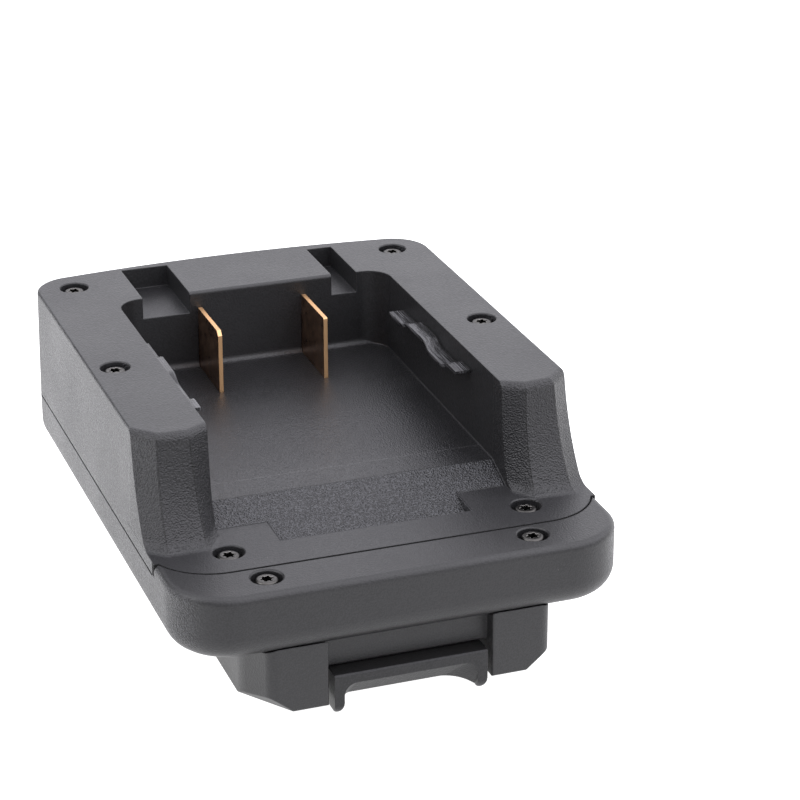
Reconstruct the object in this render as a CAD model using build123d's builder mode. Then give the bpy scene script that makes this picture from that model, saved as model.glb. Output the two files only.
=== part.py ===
from build123d import *
import math
import os

# Tool battery adapter: a slide-in battery receptacle on top, a slide-on tool plug
# underneath with a sprung release lever.
# Millimetres, +Z up, +Y towards the wall with the two blade terminals, origin at the
# middle of the box that the adapter stands in, at the height of its lowest point.

os.makedirs("parts", exist_ok=True)

# ---------------------------------------------------------------- driving dimensions
TOP = 44.6              # top face of the receptacle
HALF_W = 40.0           # half width at the top face
HALF_W_LOW = 40.4       # half width at the parting line (draft)
BACK = 36.175           # y of the pocket's back wall
REAR_MID = BACK + 19.05   # bowed rear face, on the centre line
REAR_COR = BACK + 17.0    # bowed rear face, where the corner rounding starts
FRONT = BACK - 91.8     # front face of the skirt
SEAM_Z = TOP - 21.0     # parting line on the sides
FLANGE_Z = TOP - 18.7   # top of the front flange and of the skirt
FLANGE_Y = BACK - 81.6  # front edge of the flange
BASE_Z = TOP - 31.0     # underside of the base housing
PLUG_Z = TOP - 42.3     # underside of the tool plug
POCKET_W = 27.05        # half width of the battery pocket
FLOOR_Z = TOP - 15.35   # pocket floor at the back wall
FLOOR_DROP = 0.85       # fall of the floor up to the latch ramp
RAMP_Y = BACK - 59.0    # start of the latch ramp
PAD_Y = BACK - 65.6     # rear edge of the two flange pads
WELL_Y = BACK - 73.2    # wall that the battery latch catches on
WELL_Z = TOP - 21.9     # bottom of the latch ramp
WELL_W = 17.4           # half width of the latch ramp between the pads
WALL = 2.3              # housing wall
BLADE_X = 10.5          # blade terminals, left and right of the centre
BLADE_T = 0.8
SCREW_REAR = (32.74, BACK + 10.3)
SCREW_MID = (35.36, BACK - 32.0)
SCREW_FLANGE = (27.2, BACK - 74.4)
SCREW_SKIRT = (23.9, BACK - 85.5)
CBORE_R = 2.71          # counterbore for a screw head
HEAD_R = 1.98
SHANK_R = 1.45
PLUG_W = 28.0           # half width of the tool plug
BAY_W = 14.8            # half width of the lever bay
PIVOT_Y = BACK - 70.0   # lever pivot axis
PIVOT_Z = TOP - 37.2
SPRING_Y = BACK - 58.0  # the two lever springs
PIN_R = 1.25


def mirrored_pair(p):
    return [(p[0], p[1]), (-p[0], p[1])]


# ---------------------------------------------------------------- screws
def torx_head(part_plane, head_r, head_h):
    """Cylinder head with a shallow dome and a six-lobe recess, underside on the plane."""
    with BuildPart() as head:
        with BuildSketch(part_plane):
            Circle(head_r)
        extrude(amount=head_h)
        top_edge = head.edges().filter_by(GeomType.CIRCLE).sort_by(Axis.Z)[-1]
        fillet(top_edge, radius=head_h * 0.28)
        with BuildSketch(part_plane.offset(head_h)):
            Circle(head_r * 0.43)
            with PolarLocations(head_r * 0.46, 6):
                Circle(head_r * 0.135)
        extrude(amount=-head_h * 0.62, mode=Mode.SUBTRACT)
    return head.part


def screw_solids(points, head_z, length, head_r=HEAD_R, head_h=1.9, shank_r=SHANK_R):
    """One upright screw at each point: head on top of z = head_z, shank going down."""
    head = torx_head(Plane.XY.offset(head_z), head_r, head_h)
    with BuildPart() as one:
        with BuildSketch(Plane.XY.offset(head_z)):
            Circle(shank_r)
        extrude(amount=-(length - 1.2))
        with BuildSketch(Plane.XY.offset(head_z - (length - 1.2))) as s0:
            Circle(shank_r)
        with BuildSketch(Plane.XY.offset(head_z - length)) as s1:
            Circle(shank_r * 0.45)
        loft()
        add(head)
    with BuildPart() as group:
        with Locations(*[(x, y, 0) for x, y in points]):
            add(one.part)
    return group.part


# ---------------------------------------------------------------- outlines
def body_outline(half_w, grow, front_y, front_r):
    """Closed plan outline: bowed rear edge, rounded corners, straight sides."""
    rear_r = 6.8 + grow
    with BuildLine() as ln:
        cor = REAR_COR + grow
        cx = half_w - rear_r
        ThreePointArc((-cx + 0.6, cor), (0, REAR_MID + grow), (cx - 0.6, cor))
        ThreePointArc(
            (cx - 0.6, cor),
            (cx + rear_r * 0.66, cor - rear_r * 0.31),
            (half_w, cor - rear_r * 1.15),
        )
        if front_r > 0:
            Line((half_w, cor - rear_r * 1.15), (half_w, front_y + front_r))
            ThreePointArc(
                (half_w, front_y + front_r),
                (half_w - front_r * (1 - 0.70711), front_y + front_r * (1 - 0.70711)),
                (half_w - front_r, front_y),
            )
            Line((half_w - front_r, front_y), (-half_w + front_r, front_y))
            ThreePointArc(
                (-half_w + front_r, front_y),
                (-half_w + front_r * (1 - 0.70711), front_y + front_r * (1 - 0.70711)),
                (-half_w, front_y + front_r),
            )
            Line((-half_w, front_y + front_r), (-half_w, cor - rear_r * 1.15))
        else:
            Polyline(
                (half_w, cor - rear_r * 1.15),
                (half_w, front_y),
                (-half_w, front_y),
                (-half_w, cor - rear_r * 1.15),
            )
        ThreePointArc(
            (-half_w, cor - rear_r * 1.15),
            (-cx - rear_r * 0.66, cor - rear_r * 0.31),
            (-cx + 0.6, cor),
        )
    return ln.line


# ---------------------------------------------------------------- receptacle housing
# Front ends of the two arms: three facets each, rounded over at the top and flaring
# out into the flange in a small cove. Corner points of the left arm at some depths below
# the top face, before the rounding and the cove.
arm_rows = [
    (0.0, [(-27.05, -62.6), (-30.85, -64.6), (-36.35, -64.2), (-43.0, -57.5)]),
    (7.0, [(-27.05, -63.3), (-30.6, -65.9), (-36.6, -65.6), (-43.0, -59.3)]),
    (13.0, [(-27.05, -64.3), (-30.4, -68.0), (-36.8, -68.0), (-43.0, -62.1)]),
    (18.7, [(-27.05, -66.6), (-30.1, -71.7), (-37.1, -71.8), (-43.0, -66.2)]),
]
ARM_ROUND = 1.3         # rounding at the top of the arm's front
ARM_COVE = 1.5          # cove at its foot
ARM_FOOT = 18.7         # depth of the flange below the top face


def arm_points(depth, out):
    """Corner points at a depth, the three facets moved outwards by a distance."""
    pts = []
    for k in range(4):
        total = [0.0, 0.0]
        for i, (di, row) in enumerate(arm_rows):
            w = 1.0
            for j, (dj, other) in enumerate(arm_rows):
                if j != i:
                    w *= (depth - dj) / (di - dj)
            total[0] += w * row[k][0]
            total[1] += w * row[k][1]
        pts.append(tuple(total))
    lines = []
    for (x0, y0), (x1, y1) in zip(pts[:-1], pts[1:]):
        run = math.hypot(x1 - x0, y1 - y0)
        nx, ny = -(y1 - y0) / run, (x1 - x0) / run
        if ny > 0:
            nx, ny = -nx, -ny
        lines.append((x0 + nx * out, y0 + ny * out, x1 - x0, y1 - y0))
    moved = []
    ax, ay, dx, dy = lines[0]
    moved.append((-27.05, ay + dy * (-27.05 - ax) / dx))
    for (ax, ay, dx, dy), (bx, by, ex, ey) in zip(lines[:-1], lines[1:]):
        t = ((bx - ax) * ey - (by - ay) * ex) / (dx * ey - dy * ex)
        moved.append((ax + dx * t, ay + dy * t))
    ax, ay, dx, dy = lines[-1]
    moved.append((-43.0, ay + dy * (-43.0 - ax) / dx))
    return moved


def arm_face(depth, out, side):
    with BuildSketch(Plane.XY.offset(TOP - depth)) as sk:
        with BuildLine():
            corners = [(-27.05, -48.0)] + arm_points(depth, out) + [(-43.0, -48.0)]
            Polyline(*[(side * x, BACK + y) for x, y in corners], close=True)
        make_face()
    return sk.sketch


arm_top = []
for a in (0, 15, 30, 45, 60, 75, 90):
    t = math.radians(a)
    arm_top.append((ARM_ROUND * (1 - math.cos(t)), -ARM_ROUND * (1 - math.sin(t))))
arm_mid = [(d, 0.0) for d in (ARM_ROUND, 4.0, 7.0, 10.0, 13.0, 15.5, ARM_FOOT - ARM_COVE)]
arm_low = []
for a in (0, 15, 30, 45, 60, 75):
    t = math.radians(a)
    arm_low.append((ARM_FOOT - ARM_COVE * (1 - math.sin(t)), ARM_COVE * (1 - math.cos(t))))
arm_low.append((ARM_FOOT, ARM_COVE * 0.93))

with BuildPart() as arm_void:
    with BuildSketch(Plane.XY.offset(FLANGE_Z)):
        with Locations((0, BACK - 70.0)):
            Rectangle(92, 42)
    extrude(amount=TOP - FLANGE_Z + 1.0)
    for side in (1, -1):
        for rows, straight in ((arm_top, True), (arm_mid, False), (arm_low, True)):
            faces = [arm_face(d, out, side) for d, out in rows]
            loft(faces, ruled=straight, mode=Mode.SUBTRACT)
        with BuildSketch(Plane.XY.offset(TOP)):
            with Locations((side * -35.02, BACK - 50.0)):
                Rectangle(16.0, 18.0)
        extrude(amount=2.0, mode=Mode.SUBTRACT)

with BuildPart() as pocket_cut:
    # full-width part of the pocket, from the back wall to in front of the flange
    with BuildSketch(Plane.YZ.offset(-POCKET_W)):
        with BuildLine():
            Polyline(
                (BACK, TOP + 3.0),
                (BACK, FLOOR_Z),
                (RAMP_Y, FLOOR_Z - FLOOR_DROP),
                (PAD_Y, FLANGE_Z),
                (BACK - 96.0, FLANGE_Z),
                (BACK - 96.0, TOP + 3.0),
                close=True,
            )
        make_face()
    extrude(amount=2 * POCKET_W)
    back_corners = (
        pocket_cut.edges().filter_by(Axis.Z).group_by(Axis.Y)[-1]
    )
    fillet(back_corners, radius=4.6)
    floor_edge = (
        pocket_cut.edges()
        .filter_by(lambda e: e.center().Z < FLOOR_Z + 0.2 and e.center().Y > BACK - 5.5)
    )
    fillet(floor_edge, radius=0.3)
    # latch ramp between the pads
    with BuildSketch(Plane.YZ.offset(-WELL_W)):
        with BuildLine():
            Polyline(
                (PAD_Y + 0.02, FLANGE_Z),
                (WELL_Y, WELL_Z),
                (WELL_Y, FLANGE_Z),
                close=True,
            )
        make_face()
    extrude(amount=2 * WELL_W)

with BuildPart() as receptacle_housing:
    # outer body with draft, then the flange plate
    with BuildSketch(Plane.XY.offset(TOP)) as top_out:
        with BuildLine():
            add(body_outline(HALF_W, 0.0, BACK - 74.7, 0))
        make_face()
    with BuildSketch(Plane.XY.offset(SEAM_Z)) as low_out:
        with BuildLine():
            add(body_outline(HALF_W_LOW, 0.4, BACK - 74.7, 0))
        make_face()
    loft(ruled=True)
    top_rim = (
        receptacle_housing.faces().sort_by(Axis.Z)[-1].edges()
        .filter_by(lambda e: e.center().Y > BACK - 70.0)
    )
    fillet(top_rim, radius=0.5)
    add(arm_void.part, mode=Mode.SUBTRACT)
    with BuildSketch(Plane.XY.offset(SEAM_Z)):
        with BuildLine():
            add(body_outline(HALF_W_LOW - 0.02, 0.0, FLANGE_Y, 11.3))
        make_face()
        with Locations((0, BACK + 5.0)):
            Rectangle(90.0, 124.0, mode=Mode.SUBTRACT)
    extrude(amount=FLANGE_Z - SEAM_Z)
    # floor between the arms as far as the latch ramp
    with BuildSketch(Plane.XY.offset(SEAM_Z)):
        with Locations((0, BACK - 56.5)):
            Rectangle(2 * POCKET_W, 19.0)
    extrude(amount=FLOOR_Z - SEAM_Z)
    # wall around the latch ramp, hanging under the flange
    with BuildSketch(Plane.YZ.offset(-WELL_W - 1.8)):
        with BuildLine():
            Polyline(
                (RAMP_Y + 3.0, FLOOR_Z - FLOOR_DROP - 1.0),
                (RAMP_Y + 3.0, FLOOR_Z - FLOOR_DROP - 2.1),
                (RAMP_Y - 0.5, FLOOR_Z - FLOOR_DROP - 2.1),
                (WELL_Y - 0.3, WELL_Z - 1.9),
                (WELL_Y - 1.9, WELL_Z - 1.9),
                (WELL_Y - 1.9, FLANGE_Z - 0.1),
                (PAD_Y, FLANGE_Z - 0.1),
                (RAMP_Y, FLOOR_Z - FLOOR_DROP - 0.2),
                close=True,
            )
        make_face()
    extrude(amount=2 * (WELL_W + 1.8))
    # hollow under the pocket floor, open downwards
    with BuildSketch(Plane.XY.offset(SEAM_Z - 1.0)):
        with BuildLine():
            add(body_outline(HALF_W - WALL, -WALL, RAMP_Y + 3.2, 0))
        make_face()
    extrude(amount=FLOOR_Z - FLOOR_DROP - 2.1 - SEAM_Z + 1.0, mode=Mode.SUBTRACT)
    # hollows in the arms
    with BuildSketch(Plane.XY.offset(SEAM_Z - 1.0)):
        with Locations((33.5, BACK - 26.6), (-33.5, BACK - 26.6)):
            Rectangle(8.4, 58.0)
    extrude(amount=TOP - 2.4 - SEAM_Z + 1.0, mode=Mode.SUBTRACT)
    # hollows in the rear block: low one right across, three taller ones
    with BuildSketch(Plane.XY.offset(SEAM_Z - 1.0)):
        with BuildLine():
            add(body_outline(HALF_W - WALL, -WALL, BACK - 20.0, 0))
        make_face()
        with Locations((0, BACK + 9.6)):
            Rectangle(76.0, 14.8, mode=Mode.INTERSECT)
    extrude(amount=TOP - 6.1 - SEAM_Z + 1.0, mode=Mode.SUBTRACT)
    with BuildSketch(Plane.XY.offset(TOP - 7.0)):
        with Locations((1.9, BACK + 9.3)):
            Rectangle(24.9, 14.2)
        with Locations((-30.1, BACK + 8.3), (30.1, BACK + 8.3)):
            RectangleRounded(13.6, 12.2, 3.0)
    extrude(amount=7.0 - 2.2, mode=Mode.SUBTRACT)
    # screw bosses
    with BuildSketch(Plane.XY.offset(TOP - 1.5)):
        with Locations(*mirrored_pair(SCREW_REAR), *mirrored_pair(SCREW_MID)):
            Circle(3.6)
    extrude(amount=-(TOP - 1.5 - SEAM_Z))
    with BuildSketch(Plane.XY.offset(FLANGE_Z - 1.0)):
        with Locations(*mirrored_pair(SCREW_FLANGE)):
            Circle(4.0)
    extrude(amount=-3.5)
    # two bosses for the blade carrier screws
    with BuildSketch(Plane.XY.offset(TOP - 1.5)):
        with Locations((-5.0, BACK + 12.2), (5.0, BACK + 12.2)):
            Circle(2.6)
    extrude(amount=-(13.1 - 1.5))
    # pocket, with a cove between its floor and its back wall
    add(pocket_cut.part, mode=Mode.SUBTRACT)
    with BuildSketch(Plane.YZ.offset(-POCKET_W + 1.0)):
        with BuildLine():
            Polyline((BACK - 1.2, FLOOR_Z), (BACK - 1.2, FLOOR_Z - 0.6), (BACK + 0.5, FLOOR_Z - 0.6), (BACK + 0.5, FLOOR_Z + 1.2), (BACK, FLOOR_Z + 1.2))
            RadiusArc((BACK, FLOOR_Z + 1.2), (BACK - 1.2, FLOOR_Z), 1.2)
        make_face()
    extrude(amount=2 * POCKET_W - 2.0)
    with BuildSketch(Plane.XY.offset(TOP - 4.18)):
        with Locations((-17.15, BACK + 8.0)):
            Rectangle(9.3, 17.0)
        with Locations((18.9, BACK + 7.6)):
            Rectangle(5.1, 16.2)
    extrude(amount=6.0, mode=Mode.SUBTRACT)
    # rounded front edge of the centre block
    with BuildSketch(Plane.YZ.offset(-12.6)):
        with BuildLine():
            Polyline((BACK + 0.6, TOP), (BACK + 0.6, TOP + 0.3), (BACK - 0.3, TOP + 0.3), (BACK - 0.3, TOP - 0.6), (BACK, TOP - 0.6))
            RadiusArc((BACK, TOP - 0.6), (BACK + 0.6, TOP), 0.6)
        make_face()
    extrude(amount=29.0, mode=Mode.SUBTRACT)
    # slots that let the blade tails through the back wall, and the slots in the floor
    with BuildSketch(Plane.XY.offset(TOP - 15.1)):
        with Locations((BLADE_X, BACK + 0.9), (-BLADE_X, BACK + 0.9)):
            Rectangle(BLADE_T + 0.1, 4.4)
    extrude(amount=7.7, mode=Mode.SUBTRACT)
    with BuildSketch(Plane.XY.offset(TOP - 16.0)):
        with Locations((BLADE_X, BACK - 6.8), (-BLADE_X, BACK - 6.8)):
            Rectangle(BLADE_T + 0.1, 14.6)
    extrude(amount=1.2, mode=Mode.SUBTRACT)
    # slots in the arm walls for the tabs of the rail strips
    for y0, y1, z_low in ((-28.55, -24.45, -3.75), (-39.25, -35.15, -5.0)):
        with BuildSketch(Plane.XY.offset(TOP + z_low)):
            with Locations((0, BACK + (y0 + y1) / 2)):
                Rectangle(2 * (POCKET_W + 2.6), y1 - y0)
        extrude(amount=0.7, mode=Mode.SUBTRACT)
    # counterbores and clearance holes
    for pts, z, depth in (
        (mirrored_pair(SCREW_REAR), TOP, 2.45),
        (mirrored_pair(SCREW_MID), TOP, 2.45),
        (mirrored_pair(SCREW_FLANGE), FLANGE_Z, 2.35),
    ):
        with BuildSketch(Plane.XY.offset(z)):
            with Locations(*pts):
                Circle(CBORE_R)
        extrude(amount=-depth, mode=Mode.SUBTRACT)
        with BuildSketch(Plane.XY.offset(z)):
            with Locations(*pts):
                Circle(SHANK_R + 0.25)
        extrude(amount=-32.0, mode=Mode.SUBTRACT)
    with BuildSketch(Plane.XY.offset(TOP - 14.0)):
        with Locations((-5.0, BACK + 12.2), (5.0, BACK + 12.2)):
            Circle(1.15)
    extrude(amount=9.0, mode=Mode.SUBTRACT)
    # small chamfers around the counterbores
    for pts, z in ((mirrored_pair(SCREW_REAR) + mirrored_pair(SCREW_MID), TOP), (mirrored_pair(SCREW_FLANGE), FLANGE_Z)):
        with BuildSketch(Plane.XY.offset(z)):
            with Locations(*pts):
                Circle(CBORE_R + 0.18)
        extrude(amount=-0.18, taper=45, mode=Mode.SUBTRACT)
receptacle_housing.part.label = "receptacle_housing"
export_step(receptacle_housing.part, "parts/receptacle_housing.step")


# ---------------------------------------------------------------- base housing
BASE_FLOOR = BASE_Z + 2.4      # inner face of the bottom
LEDGE_Z = TOP - 23.2           # underside of the front ledge, top of the flange bosses
SKIRT_BACK = BACK - 74.9       # the skirt stands above the parting line in front of this
SCREW_PLUG = (19.5, BACK - 12.6)

with BuildPart() as base_housing:
    with BuildSketch(Plane.XY.offset(BASE_Z)) as base_out:
        with BuildLine():
            add(body_outline(HALF_W_LOW, 0.4, FRONT, 11.0))
        make_face()
    extrude(amount=FLANGE_Z - BASE_Z)
    bottom_rim = base_housing.faces().sort_by(Axis.Z)[0].edges()
    fillet(bottom_rim, radius=4.5)
    top_rim = base_housing.faces().sort_by(Axis.Z)[-1].edges()
    fillet(top_rim, radius=1.3)
    # everything behind the skirt stops at the parting line
    with BuildSketch(Plane.XY.offset(SEAM_Z)):
        with Locations((0, SKIRT_BACK + 60.0)):
            Rectangle(100.0, 120.0)
    extrude(amount=10.0, mode=Mode.SUBTRACT)
    # seat of the flange inside the skirt
    with BuildSketch(Plane.XY.offset(SEAM_Z)):
        with BuildLine():
            add(body_outline(HALF_W_LOW + 0.23, 0.0, FLANGE_Y - 0.42, 11.72))
        make_face()
    extrude(amount=10.0, mode=Mode.SUBTRACT)
    # shadow gap around the parting line
    with BuildSketch(Plane.XY.offset(SEAM_Z)) as gap_ring:
        with BuildLine():
            add(body_outline(HALF_W_LOW + 2.0, 2.4, BACK - 73.4, 0))
        make_face()
        with BuildLine():
            add(body_outline(HALF_W_LOW - 0.9, -0.5, BACK - 80.0, 0))
        make_face(mode=Mode.SUBTRACT)
    extrude(amount=-0.36, mode=Mode.SUBTRACT)
    # inner space: the lower part runs under the skirt, the upper part stops at the ledge
    with BuildSketch(Plane.XY.offset(BASE_FLOOR)):
        with BuildLine():
            add(body_outline(HALF_W_LOW - 2.4, -2.0, FRONT + 2.4, 8.6))
        make_face()
    extrude(amount=LEDGE_Z - BASE_FLOOR, mode=Mode.SUBTRACT)
    with BuildSketch(Plane.XY.offset(LEDGE_Z)):
        with BuildLine():
            add(body_outline(HALF_W_LOW - 2.4, -2.0, BACK - 78.0, 8.0))
        make_face()
    extrude(amount=SEAM_Z - LEDGE_Z + 1.0, mode=Mode.SUBTRACT)
    # screw bosses
    with BuildSketch(Plane.XY.offset(BASE_Z + 1.0)):
        with Locations(*mirrored_pair(SCREW_REAR), *mirrored_pair(SCREW_MID)):
            Circle(3.4)
    extrude(amount=SEAM_Z - BASE_Z - 1.0)
    with BuildSketch(Plane.XY.offset(BASE_Z + 1.0)):
        with Locations(*mirrored_pair(SCREW_FLANGE)):
            Circle(3.6)
    extrude(amount=LEDGE_Z - BASE_Z - 1.0)
    with BuildSketch(Plane.XY.offset(BASE_Z + 1.0)):
        with Locations(*mirrored_pair(SCREW_SKIRT)):
            Circle(4.3)
    extrude(amount=LEDGE_Z - BASE_Z - 0.8)
    # ribs across the bottom
    with BuildSketch(Plane.XY.offset(BASE_Z + 1.0)):
        with Locations((0, BACK - 48.0), (0, BACK - 2.0)):
            Rectangle(72.0, 1.6)
        with Locations((28.0, BACK - 25.0), (-28.0, BACK - 25.0)):
            Rectangle(1.6, 46.0)
    extrude(amount=4.4)
    # room for the flange bosses and the latch ramp wall
    with BuildSketch(Plane.XY.offset(LEDGE_Z)):
        with Locations(*mirrored_pair(SCREW_FLANGE)):
            Circle(4.3)
    extrude(amount=SEAM_Z - LEDGE_Z + 0.5, mode=Mode.SUBTRACT)
    # pilot holes for the case screws and flange screws
    with BuildSketch(Plane.XY.offset(BASE_Z + 1.2)):
        with Locations(*mirrored_pair(SCREW_REAR), *mirrored_pair(SCREW_MID), *mirrored_pair(SCREW_FLANGE)):
            Circle(SHANK_R + 0.05)
    extrude(amount=12.0, mode=Mode.SUBTRACT)
    # skirt screw holes, plug screw holes
    with BuildSketch(Plane.XY.offset(BASE_Z - 1.0)):
        with Locations(*mirrored_pair(SCREW_SKIRT), *mirrored_pair(SCREW_PLUG)):
            Circle(SHANK_R + 0.25)
    extrude(amount=16.0, mode=Mode.SUBTRACT)
    with BuildSketch(Plane.XY.offset(FLANGE_Z)):
        with Locations(*mirrored_pair(SCREW_SKIRT)):
            Circle(CBORE_R)
    extrude(amount=-2.15, mode=Mode.SUBTRACT)
    with BuildSketch(Plane.XY.offset(FLANGE_Z)):
        with Locations(*mirrored_pair(SCREW_SKIRT)):
            Circle(CBORE_R + 0.25)
    extrude(amount=-0.25, taper=45, mode=Mode.SUBTRACT)
    # window for the leads, seats for the lever springs
    with BuildSketch(Plane.XY.offset(BASE_Z - 1.0)):
        with Locations((0, BACK - 37.0)):
            RectangleRounded(36.0, 14.0, 1.5)
    extrude(amount=6.0, mode=Mode.SUBTRACT)
    with BuildSketch(Plane.XY.offset(BASE_Z - 1.0)):
        with Locations((6.0, SPRING_Y), (-6.0, SPRING_Y)):
            Circle(2.5)
    extrude(amount=1.8, mode=Mode.SUBTRACT)
base_housing.part.label = "base_housing"
export_step(base_housing.part, "parts/base_housing.step")
print("base", len(base_housing.part.solids()), base_housing.part.volume, base_housing.part.bounding_box())


# ---------------------------------------------------------------- tool plug
PLUG_FRONT = BACK - 90.4
PLUG_REAR = BACK - 8.0
PLUG_FLOOR = PLUG_Z + 2.2      # inner face of the plug's bottom plate
BAY_Y = BACK - 87.6            # front of the bay wall
BAY_WALL_Z = TOP - 36.45       # its lower edge, the lever passes underneath
OPEN_REAR = BACK - 72.5        # rear end of the lever's opening in the bottom plate
SCREW_BLOCK = (20.0, BACK - 25.0)

with BuildPart() as plug_body:
    with BuildSketch(Plane.XY.offset(PLUG_Z)):
        with BuildLine():
            Polyline(
                (-25.1, PLUG_FRONT),
                (25.1, PLUG_FRONT),
                (PLUG_W, BACK - 82.2),
                (PLUG_W, PLUG_REAR - 2.0),
                (PLUG_W - 2.0, PLUG_REAR),
                (-PLUG_W + 2.0, PLUG_REAR),
                (-PLUG_W, PLUG_REAR - 2.0),
                (-PLUG_W, BACK - 82.2),
                close=True,
            )
        make_face()
    extrude(amount=BASE_Z - PLUG_Z + 1.6)
    # softly curved upright corners at the front
    nose_edges = plug_body.edges().filter_by(Axis.Z).filter_by(
        lambda e: e.center().Y < PLUG_FRONT + 1.0
    )
    fillet(nose_edges, radius=2.2)
    cheek_edges = plug_body.edges().filter_by(Axis.Z).filter_by(
        lambda e: abs(e.center().Y - (BACK - 82.2)) < 0.5
    )
    fillet(cheek_edges, radius=9.0)
    # only the front blocks rise above the joint, following the skirt's rounded foot
    with BuildSketch(Plane.XY.offset(BASE_Z)):
        with Locations((0, BACK - 37.3)):
            Rectangle(80.0, 100.0)
    extrude(amount=3.0, mode=Mode.SUBTRACT)
    with BuildSketch(Plane.YZ.offset(-40.0)):
        with Locations((BACK - 87.3, TOP - 26.5)):
            Circle(4.72)
    extrude(amount=80.0, mode=Mode.SUBTRACT)
    # lever bay between the two front blocks, opening for the lever in the bottom plate
    with BuildSketch(Plane.XY.offset(PLUG_Z - 1.0)):
        with Locations((0, (BACK - 92.0 + OPEN_REAR) / 2)):
            Rectangle(2 * BAY_W, OPEN_REAR - BACK + 92.0)
    extrude(amount=16.0, mode=Mode.SUBTRACT)
    # sloping corner facets of the front blocks
    split(
        bisect_by=Plane(origin=(21.0, PLUG_FRONT, PLUG_Z), z_dir=(-38.0, 26.5, 46.5)),
        keep=Keep.TOP,
    )
    split(
        bisect_by=Plane(origin=(-21.0, PLUG_FRONT, PLUG_Z), z_dir=(38.0, 26.5, 46.5)),
        keep=Keep.TOP,
    )
    # softened edges of the front blocks
    block_edges = plug_body.edges().filter_by(
        lambda e: e.center().Y < BACK - 82.0
        and (e.center().Z < TOP - 38.5 or (abs(e.center().X) < 15.5 and e.center().Z < BASE_Z - 1.0))
        and (abs(abs(e.center().X) - BAY_W) > 0.1 or e.center().Y < PLUG_FRONT + 0.2)
    )
    fillet(block_edges, radius=0.4)
    # rail grooves in the two sides, open at the rear end
    with BuildSketch(Plane.XY.offset(TOP - 38.6)):
        with Locations((PLUG_W, BACK - 36.0), (-PLUG_W, BACK - 36.0)):
            Rectangle(6.8, 60.0)
    extrude(amount=5.2, mode=Mode.SUBTRACT)
    # inner space, open upwards
    with BuildSketch(Plane.XY.offset(PLUG_FLOOR)):
        with Locations((0, BACK - 72.5)):
            Rectangle(51.2, 11.0)
        with Locations((0, BACK - 39.5)):
            Rectangle(44.8, 58.2)
    extrude(amount=12.0, mode=Mode.SUBTRACT)
    # bay wall, hanging between the two blocks over the lever
    with BuildSketch(Plane.YZ.offset(-BAY_W - 0.4)):
        with BuildLine():
            Polyline(
                (BAY_Y, BAY_WALL_Z + 0.4),
                (BAY_Y, BASE_Z),
                (BAY_Y + 1.7, BASE_Z),
                (BAY_Y + 1.7, BAY_WALL_Z + 0.4),
                (BAY_Y + 1.3, BAY_WALL_Z),
                (BAY_Y + 0.4, BAY_WALL_Z),
                close=True,
            )
        make_face()
    extrude(amount=2 * BAY_W + 0.8)
    # bosses: rear plug screws, contact block screws
    with BuildSketch(Plane.XY.offset(PLUG_FLOOR - 0.5)):
        with Locations(*mirrored_pair(SCREW_PLUG)):
            Circle(3.1)
    extrude(amount=BASE_Z - PLUG_FLOOR + 0.5)
    with BuildSketch(Plane.XY.offset(PLUG_FLOOR - 0.5)):
        with Locations(*mirrored_pair(SCREW_BLOCK)):
            Circle(2.2)
    extrude(amount=4.6)
    # pivot ears of the lever
    with BuildSketch(Plane.YZ.offset(-17.2)):
        with Locations((PIVOT_Y, PIVOT_Z)):
            Circle(2.7)
        with Locations((PIVOT_Y, (PIVOT_Z + PLUG_FLOOR - 0.5) / 2)):
            Rectangle(5.4, PIVOT_Z - PLUG_FLOOR + 0.5)
    extrude(amount=2.6)
    with BuildSketch(Plane.YZ.offset(14.6)):
        with Locations((PIVOT_Y, PIVOT_Z)):
            Circle(2.7)
        with Locations((PIVOT_Y, (PIVOT_Z + PLUG_FLOOR - 0.5) / 2)):
            Rectangle(5.4, PIVOT_Z - PLUG_FLOOR + 0.5)
    extrude(amount=2.6)
    with BuildSketch(Plane.YZ.offset(-20.0)):
        with Locations((PIVOT_Y, PIVOT_Z)):
            Circle(PIN_R)
    extrude(amount=40.0, mode=Mode.SUBTRACT)
    # pilot holes
    with BuildSketch(Plane.XY.offset(BASE_Z)):
        with Locations(*mirrored_pair(SCREW_SKIRT), *mirrored_pair(SCREW_PLUG)):
            Circle(SHANK_R + 0.05)
    extrude(amount=-8.6, mode=Mode.SUBTRACT)
    with BuildSketch(Plane.XY.offset(TOP - 36.0)):
        with Locations(*mirrored_pair(SCREW_BLOCK)):
            Circle(1.15)
    extrude(amount=-5.2, mode=Mode.SUBTRACT)
    # window for the latch tooth
    with BuildSketch(Plane.XY.offset(PLUG_Z - 1.0)):
        with Locations((0, BACK - 55.4)):
            RectangleRounded(15.4, 7.2, 0.8)
    extrude(amount=4.0, mode=Mode.SUBTRACT)
    # slots for the two blades of the tool, through the rear wall and the bottom plate
    with BuildSketch(Plane.XY.offset(PLUG_Z - 1.0)):
        with Locations((BLADE_X, BACK - 18.0), (-BLADE_X, BACK - 18.0)):
            Rectangle(1.4, 24.0)
    extrude(amount=8.6, mode=Mode.SUBTRACT)
plug_body.part.label = "plug_body"
export_step(plug_body.part, "parts/plug_body.step")
print("plug", len(plug_body.part.solids()), plug_body.part.volume)


# ---------------------------------------------------------------- battery terminals
def blade_outline():
    """Side view of a blade: visible plate in the pocket, tail through the back wall."""
    Polyline(
        (BACK - 13.8, TOP - 15.9),
        (BACK - 13.8, TOP - 3.26),
        (BACK - 0.06, TOP - 3.26),
        (BACK - 0.06, TOP - 7.55),
        (BACK + 13.0, TOP - 7.55),
        (BACK + 13.0, TOP - 14.75),
        (BACK + 0.3, TOP - 14.75),
        (BACK + 0.3, TOP - 15.9),
        close=True,
    )


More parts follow.
